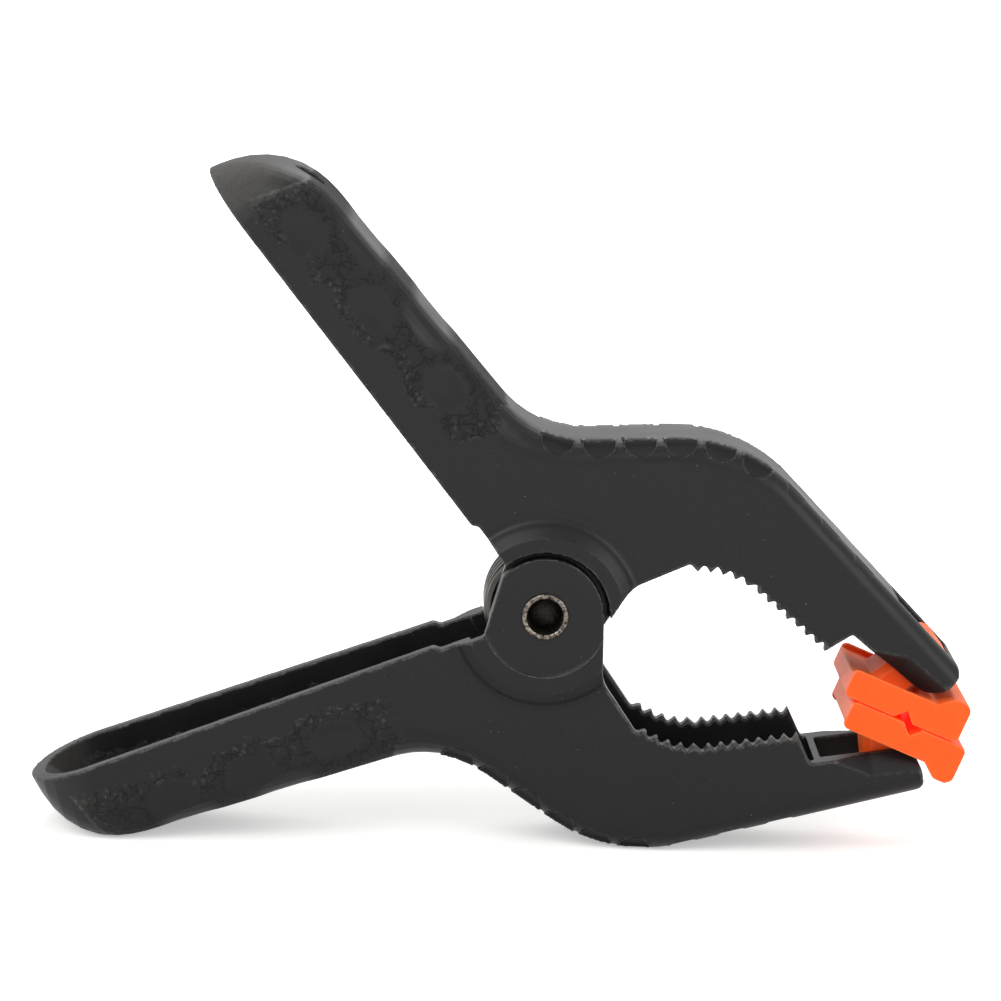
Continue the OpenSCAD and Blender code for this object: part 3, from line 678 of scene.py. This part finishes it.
def draw_in_pockets(mesh, lower):
    """Brings the deep pockets' inner ends outwards, so that their floors fall steeply, and
    leaves the front ones as faint dents."""
    q = in_arm(points_of(mesh), lower)
    way = in_arm(normals_of(mesh) * MM + HINGE, lower)
    side = np.where(q[:, 1] < 0, -1, 1)
    y = np.abs(q[:, 1])
    pocket = np.zeros(len(q))
    moved = q.copy()
    for x, z, slope, share in pocket_places():
        c, s = math.cos(slope), math.sin(slope)
        run = (q[:, 0] - x) * c + (q[:, 2] - z) * s
        up = (q[:, 2] - z) * c - (q[:, 0] - x) * s
        faces_out = (way[:, 1] * side > -0.3) & (way[:, 2] * c - way[:, 0] * s > -0.3)
        inner = SIDE_Y - POCKET_DEEP * share
        drop, sink = POCKET_DROP * share, POCKET_SINK * share
        floor = -sink - (y - inner) * (drop - sink) / (SIDE_Y - inner)
        cut = edge_fall(y) - floor
        within = (np.hypot(run, up - POCKET_R + drop) < POCKET_R + 0.2) & (cut > 0.05)
        at = np.flatnonzero(within & faces_out & (y > inner - 0.3) & (y < SIDE_Y))
        share_up = np.clip((up[at] - floor[at]) / cut[at], 0, 1)
        if share == 1:
            new_y = POCKET_OUT - (POCKET_OUT - y[at]) * POCKET_KEPT
            new_up = up[at] + (edge_fall(new_y) - edge_fall(y[at])) * share_up
        else:
            new_y = y[at]
            new_up = up[at] + FRONT_FILLED * np.maximum(edge_fall(new_y) - up[at], 0)
        moved[at, 0] = x + run[at] * c - new_up * s
        moved[at, 1] = side[at] * new_y
        moved[at, 2] = z + run[at] * s + new_up * c
        pocket[at] = share * (1 - share_up)
    set_points(mesh, out_of_arm(moved, lower))
    keep_attribute(mesh, "pocket", pocket)


# An arm's mesh: its grid in mm, and the triangles that it is thinned out to.
ARM_GRID, ARM_TRIANGLES = 0.3, 190000


def make_arm(name, node, body, lower, material):
    """A moulded arm: its edges softened, its pockets drawn in and its grip dressed."""
    obj = moulded_copy(name, node, ARM_GRID)
    soften(obj.data, 3)
    draw_in_pockets(obj.data, lower)
    dress_arm(obj.data, lower)
    thin_out(obj, ARM_TRIANGLES)
    shade_smooth(obj.data)
    obj.data.materials.append(material)
    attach(obj, body)
    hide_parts(node)


# ---- Pads ----

PAD_AXIS = in_arm(JOINT_AT["upper_pad_swivel"][None], False)[0]
PAD_GRID = 0.2
# Half the width of a pad.
PAD_SIDE_Y = 11
# How far the closed pads' faces are pressed towards each other, to close the running gap.
PRESSED = 0.06
# The notch across the contact face: its middle ahead of the swivel axis, and its depth.
NOTCH_AT, NOTCH_DEEP = 0.9, 1.75


def make_pad(name, node, body, lower, material):
    """A moulded jaw pad, with pale edges that are partly rubbed and partly painted highlight, a
    dusted back end partly painted light, and a painted glow where light would come through.
    """
    obj = moulded_copy(name, node, PAD_GRID)
    mesh = obj.data
    soften(mesh, 1)
    # pale edges: partly rubbed, partly a painted highlight on the rounded edges
    keep_attribute(mesh, "wear_and_edge_highlight", 0.7 * ramp(convexity(mesh), 0.01, 0.03))
    q = in_arm(points_of(mesh), lower)
    way = in_arm(normals_of(mesh) * MM + HINGE, lower)
    # the way that the contact face looks, and the way along it to the pad's front
    out = way[way[:, 2] < -0.97].mean(0)
    out /= np.linalg.norm(out)
    ahead = np.array([-out[2], 0, out[0]])
    run = (q - PAD_AXIS) @ ahead
    deep = (q @ out).max() - q @ out
    # the back end's faces: dusted, and partly painted paler as light from that side would make them
    keep_attribute(mesh, "dust_and_painted_light", ramp(-way @ ahead, 0.6, 0.95) * ramp(-run, 4, 7))
    # a painted glow: light that would come through the soft plastic is painted in as emission, into
    # the notch across the contact face and into the slit along the face's edges
    across = ramp(NOTCH_DEEP + 0.35 - deep - np.abs(run - NOTCH_AT), 0, 0.2)
    from_side = PAD_SIDE_Y - np.abs(q[:, 1])
    notch = across * ramp(deep, 0.1, 0.35) * ramp(from_side, 0.2, 0.8)
    slit = (1 - ramp(deep, 0.05, 0.2)) * ramp(from_side, 0.05, 0.3) * (1 - ramp(from_side, 1.5, 3))
    keep_attribute(mesh, "painted_glow", np.maximum(notch, slit))
    q += PRESSED * (1 - ramp(deep, 0.15, 0.6))[:, None] * out
    set_points(mesh, out_of_arm(q, lower))
    shade_smooth(mesh)
    mesh.materials.append(material)
    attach(obj, body)
    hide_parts(node)


# ---- Rivet ----

RIVET_SIDES = 96
# Radius of the shank, radius and height of the head, and height of the head's straight edge.
SHANK_R, HEAD_R, HEAD_H, HEAD_EDGE = 3.6, 5.6, 1.3, 0.4
# The rolled lip's own radius, and the middle of it as (radius, distance from the near end).
LIP_R, LIP_AT = 0.5, (3.5, 0.5)
# The bore of the hollow end, as (radius, distance from the lip) from its floor outwards.
BORE = [(0, 6.0), (1.3, 5.75), (2.2, 5.2), (2.75, 4.5), (2.8, 4.2)]
# The finish of the hollow end reaches that far in, and the bore's dull finish and painted shade that
# far out.
HOLLOW_END, BORE_FINISH_R = 7, 3.3


def turned(name, profile, sides):
    """A closed solid turned about the hinge axis from (radius, distance from the near end) in mm."""
    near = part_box("rivet")[0][1]
    work = bmesh.new()

    def circle(radius, at):
        turns = [math.tau * i / sides for i in range(sides if radius else 1)]
        return [
            work.verts.new(
                (
                    HINGE[0] + radius * MM * math.cos(t),
                    near + at * MM,
                    HINGE[2] + radius * MM * math.sin(t),
                )
            )
            for t in turns
        ]

    circles = [circle(*point) for point in profile]
    for a, b in zip(circles, circles[1:]):
        for i in range(sides):
            k = (i + 1) % sides
            loop = [a[i % len(a)], a[k % len(a)], b[k % len(b)], b[i % len(b)]]
            work.faces.new(list(dict.fromkeys(loop)))
    bmesh.ops.recalc_face_normals(work, faces=work.faces)
    mesh = bpy.data.meshes.new(name)
    work.to_mesh(mesh)
    work.free()
    return new_object(name, mesh)


def arc(centre, r, start, end, steps):
    """Points on an arc between two angles in degrees."""
    turns = [math.radians(start + (end - start) * i / steps) for i in range(steps + 1)]
    return [(centre[0] + r * math.cos(t), centre[1] + r * math.sin(t)) for t in turns]


def make_rivet(material):
    """The hollow end's lip, the shank and the domed head."""
    low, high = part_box("rivet")
    length = (high[1] - low[1]) / MM
    head_at = length - HEAD_H
    rise = HEAD_H - HEAD_EDGE
    dome_r = (HEAD_R**2 + rise**2) / (2 * rise)
    crown = [HEAD_R * math.cos(math.radians(12 + 78 * i / 8)) for i in range(8)]
    profile = [
        *BORE,
        *arc(LIP_AT, LIP_R, 180, 360, 10),
        (SHANK_R, 0.62),
        (SHANK_R, head_at),
        (HEAD_R - 0.15, head_at),
        (HEAD_R, head_at + 0.15),
        (HEAD_R, head_at + HEAD_EDGE),
        *[(r, length - dome_r + math.sqrt(dome_r**2 - r**2)) for r in crown],
        (0, length),
    ]
    obj = turned("hinge_rivet", profile, RIVET_SIDES)
    co = points_of(obj.data)
    radius = np.hypot(co[:, 0] - HINGE[0], co[:, 2] - HINGE[2]) / MM
    at = (co[:, 1] - low[1]) / MM
    hollow_end = at < HOLLOW_END
    # painted shade down the bore, and a painted shadow in the crease round the lip's outer edge
    bore_shade = np.where(radius < BORE_FINISH_R, 0.9 * ramp(at, 0.25, 1.6), 0)
    lip_shadow = 0.8 * ramp(radius, 3.75, 3.95)
    keep_attribute(obj.data, "peened", hollow_end)
    keep_attribute(obj.data, "bore_and_lip_painted_shade", hollow_end * np.maximum(bore_shade, lip_shadow))
    shade_smooth(obj.data)
    obj.data.materials.append(material)
    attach(obj, "lower_body")
    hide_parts("rivet")


# ---- Torsion spring ----

# The wire's radius, the coil's radius at the wire's middle, its pitch and its whole turns.
WIRE_R, COIL_R, COIL_PITCH, COIL_TURNS = 1.2, 9.1, 2.95, 4
# A leg's length, and the gap between its end and the inside of the handle's back.
LEG_LEN, LEG_GAP, WALL = 34.0, 0.25, 2.6
WIRE_SIDES, WIRE_STEP, COIL_POINTS = 20, 0.6, 220


def wire_tree(material):
    """Sweeps a round wire along a curve, and keeps the run along it for the finish."""
    tree = bpy.data.node_groups.new("wire_along_path", "GeometryNodeTree")
    face = tree.interface
    face.new_socket("Geometry", in_out="INPUT", socket_type="NodeSocketGeometry")
    face.new_socket("Wire radius", in_out="INPUT", socket_type="NodeSocketFloat")
    face.new_socket("Sides", in_out="INPUT", socket_type="NodeSocketInt")
    face.new_socket("Step", in_out="INPUT", socket_type="NodeSocketFloat")
    face.new_socket("Geometry", in_out="OUTPUT", socket_type="NodeSocketGeometry")
    given = add(tree, "NodeGroupInput").outputs
    path = add(tree, "GeometryNodeMeshToCurve", [(0, given["Geometry"])]).outputs[0]
    even = add(
        tree,
        "GeometryNodeResampleCurve",
        [("Curve", path), ("Length", given["Step"])],
        mode="LENGTH",
    )
    length = add(tree, "GeometryNodeSplineParameter").outputs["Length"]
    marked = add(
        tree,
        "GeometryNodeStoreNamedAttribute",
        [("Geometry", even.outputs[0]), ("Name", "run"), ("Value", length)],
        data_type="FLOAT",
    )
    circle = add(
        tree,
        "GeometryNodeCurvePrimitiveCircle",
        [("Resolution", given["Sides"]), ("Radius", given["Wire radius"])],
    )
    wire = add(
        tree,
        "GeometryNodeCurveToMesh",
        [("Curve", marked.outputs[0]), ("Profile Curve", circle.outputs[0]), ("Fill Caps", True)],
    )
    real = add(tree, "GeometryNodeRealizeInstances", [(0, wire.outputs[0])])
    links = [("Geometry", real.outputs[0]), ("Material", material)]
    finished = add(tree, "GeometryNodeSetMaterial", links)
    add(tree, "NodeGroupOutput", [(0, finished.outputs[0])])
    return tree


def leg_turn():
    """Where a leg leaves the coil, in degrees, so that its end lies at the handle's back."""
    normal, away = handle_back()
    outer = COIL_R + WIRE_R
    reach = math.hypot(outer, LEG_LEN)
    lean = math.asin((away - WALL - LEG_GAP) / reach) - math.atan2(outer, LEG_LEN)
    return normal - math.degrees(lean)


def spring_line():
    """The wire's centre line in the upper arm's frame, in mm: leg, coil, leg."""
    start = leg_turn()
    sweep = 360 * COIL_TURNS + 2 * start
    half = COIL_PITCH * sweep / 720

    def coil_point(k):
        a = math.radians(start - k * sweep)
        return np.array([COIL_R * math.cos(a), -half + 2 * k * half, COIL_R * math.sin(a)])

    def leg_point(k, run):
        a = math.radians(start - k * sweep + 90)
        away = -run if k else run
        return coil_point(k) + away * np.array([math.cos(a), 0, math.sin(a)])

    return np.array(
        [leg_point(0, LEG_LEN), leg_point(0, 2 * WIRE_R)]
        + [coil_point(i / COIL_POINTS) for i in range(COIL_POINTS + 1)]
        + [leg_point(1, 2 * WIRE_R), leg_point(1, LEG_LEN)]
    )


def map_wire(mesh):
    """A UV map in metres: the run along the wire, and the way round it."""
    run = np.empty(len(mesh.vertices), np.float32)
    mesh.attributes["run"].data.foreach_get("value", run)
    corner_of = np.empty(len(mesh.loops), np.int64)
    mesh.loops.foreach_get("vertex_index", corner_of)
    girth = (corner_of % WIRE_SIDES) / WIRE_SIDES * math.tau * WIRE_R * MM
    uv = mesh.uv_layers.new(name="wire")
    uv.data.foreach_set("uv", np.stack([run[corner_of], girth], 1).astype(np.float32).ravel())


def make_spring(material):
    """The wire swept along its centre line; the coil takes up the turn between the legs."""
    co = out_of_arm(spring_line(), False)
    mesh = bpy.data.meshes.new("spring_line")
    mesh.from_pydata([tuple(p) for p in co], [(i, i + 1) for i in range(len(co) - 1)], [])
    obj = new_object("torsion_spring_wire", mesh)
    modifier = obj.modifiers.new("Wire", "NODES")
    modifier.node_group = wire_tree(material)
    values = {"Wire radius": WIRE_R * MM, "Sides": WIRE_SIDES, "Step": WIRE_STEP * MM}
    for item in modifier.node_group.interface.items_tree:
        if item.in_out == "INPUT" and item.name in values:
            modifier[item.identifier] = values[item.name]
    take_result(obj)
    map_wire(obj.data)
    shade_smooth(obj.data)
    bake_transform(obj)
    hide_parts("torsion_spring")


# ---- Floor, light and camera ----


def shown_rays(tree):
    """1 for the rays that show the surroundings, 0 for those that only bring light."""
    rays = add(tree, "ShaderNodeLightPath").outputs
    kinds = ["Is Camera Ray", "Is Glossy Ray", "Is Transmission Ray"]
    return most(tree, *[rays[kind] for kind in kinds])


def make_stage():
    """Pale paper that keeps the shadow under the clamp and reads white away from it."""
    mesh = bpy.data.meshes.new("floor")
    reach = 3.0
    corners = [(-reach, -reach, 0), (reach, -reach, 0), (reach, reach, 0), (-reach, reach, 0)]
    mesh.from_pydata(corners, [], [(0, 1, 2, 3)])
    floor = new_object("floor", mesh)
    material, tree = new_material("studio_paper")
    place = add(tree, "ShaderNodeTexCoord").outputs["Object"]
    away = add(tree, "ShaderNodeVectorMath", [(0, place)], operation="LENGTH").outputs["Value"]
    surface(
        tree,
        Base_Color=colour("#f0f0ee"),
        Roughness=0.9,
        Specular_IOR_Level=0.0,
        Emission_Color=(1, 1, 1, 1),
        Emission_Strength=times(tree, shown_rays(tree), spread(tree, away, 0.1, 0.4, 0.4, 1.0)),
    )
    mesh.materials.append(material)


def make_world():
    world = bpy.data.worlds.new("studio")
    bpy.context.scene.world = world
    world.use_nodes = True
    tree = world.node_tree
    tree.nodes.clear()
    strength = spread(tree, shown_rays(tree), 0, 1, 0.5, 1.0)
    light = add(tree, "ShaderNodeBackground", [("Color", (1, 1, 1, 1)), ("Strength", strength)])
    add(tree, "ShaderNodeOutputWorld", [("Surface", light.outputs[0])])


# Each lamp's name, place and side length in metres, and power in watts.
LAMPS = [
    ("key", (-0.5, -0.75, 0.8), 0.7, 7.0),
    ("fill", (0.8, -0.6, 0.45), 0.6, 4.0),
    ("back", (0.1, 0.8, 0.9), 0.9, 5.0),
    ("left", (-0.9, -0.15, 0.35), 0.5, 2.0),
]
LAMP_AIM = (0, 0, 0.05)


def make_lamp(name, place, size, watts):
    lamp = bpy.data.lights.new(name, "AREA")
    lamp.shape, lamp.size, lamp.energy = "SQUARE", size, watts
    obj = new_object(name, lamp)
    obj.location = place
    obj.rotation_euler = (Vector(LAMP_AIM) - Vector(place)).to_track_quat("-Z", "Y").to_euler()


# The camera's turns in degrees, its distance in metres, and its lens and sensor in mm.
CAMERA_YAW, CAMERA_DROP, CAMERA_ROLL = 1.067, 10.63, -1.935
CAMERA_AWAY = 0.66875
CAMERA_LENS, SENSOR_WIDTH = 141.36, 36
# The place that it looks at, in mm from the hinge.
AIM_X, AIM_Z = -7.922, 17.189


def make_camera():
    """A long lens a little above the clamp, turned 1 degree from square to it."""
    yaw, drop, roll = map(math.radians, (CAMERA_YAW, CAMERA_DROP, CAMERA_ROLL))
    ahead = Vector(
        (math.sin(yaw) * math.cos(drop), math.cos(yaw) * math.cos(drop), -math.sin(drop))
    )
    level = ahead.cross(Vector((0, 0, 1))).normalized()
    down = ahead.cross(level)
    right = level * math.cos(roll) + down * math.sin(roll)
    up = level * math.sin(roll) - down * math.cos(roll)
    camera = bpy.data.cameras.new("camera")
    camera.sensor_width = SENSOR_WIDTH
    camera.lens = CAMERA_LENS
    camera.clip_start, camera.clip_end = 0.05, 10
    obj = new_object("camera", camera)
    aim = Vector((HINGE[0] + AIM_X * MM, 0, HINGE[2] + AIM_Z * MM))
    turn = Matrix((right, up, -ahead)).transposed().to_4x4()
    obj.matrix_world = Matrix.Translation(aim - ahead * CAMERA_AWAY) @ turn
    bpy.context.scene.camera = obj


nylon = moulded_nylon()
elastomer = moulded_elastomer()
make_arm("lower_arm_moulding", "lower_arm", "lower_body", True, nylon)
make_arm("upper_arm_moulding", "upper_arm", "upper_body", False, nylon)
make_pad("lower_pad_moulding", "lower_pad", "lower_pad_body", True, elastomer)
make_pad("upper_pad_moulding", "upper_pad", "upper_pad_body", False, elastomer)
make_rivet(peened_steel())
make_spring(drawn_wire())

make_stage()
make_world()
for lamp in LAMPS:
    make_lamp(*lamp)
make_camera()
bpy.context.scene.view_settings.view_transform = "Standard"
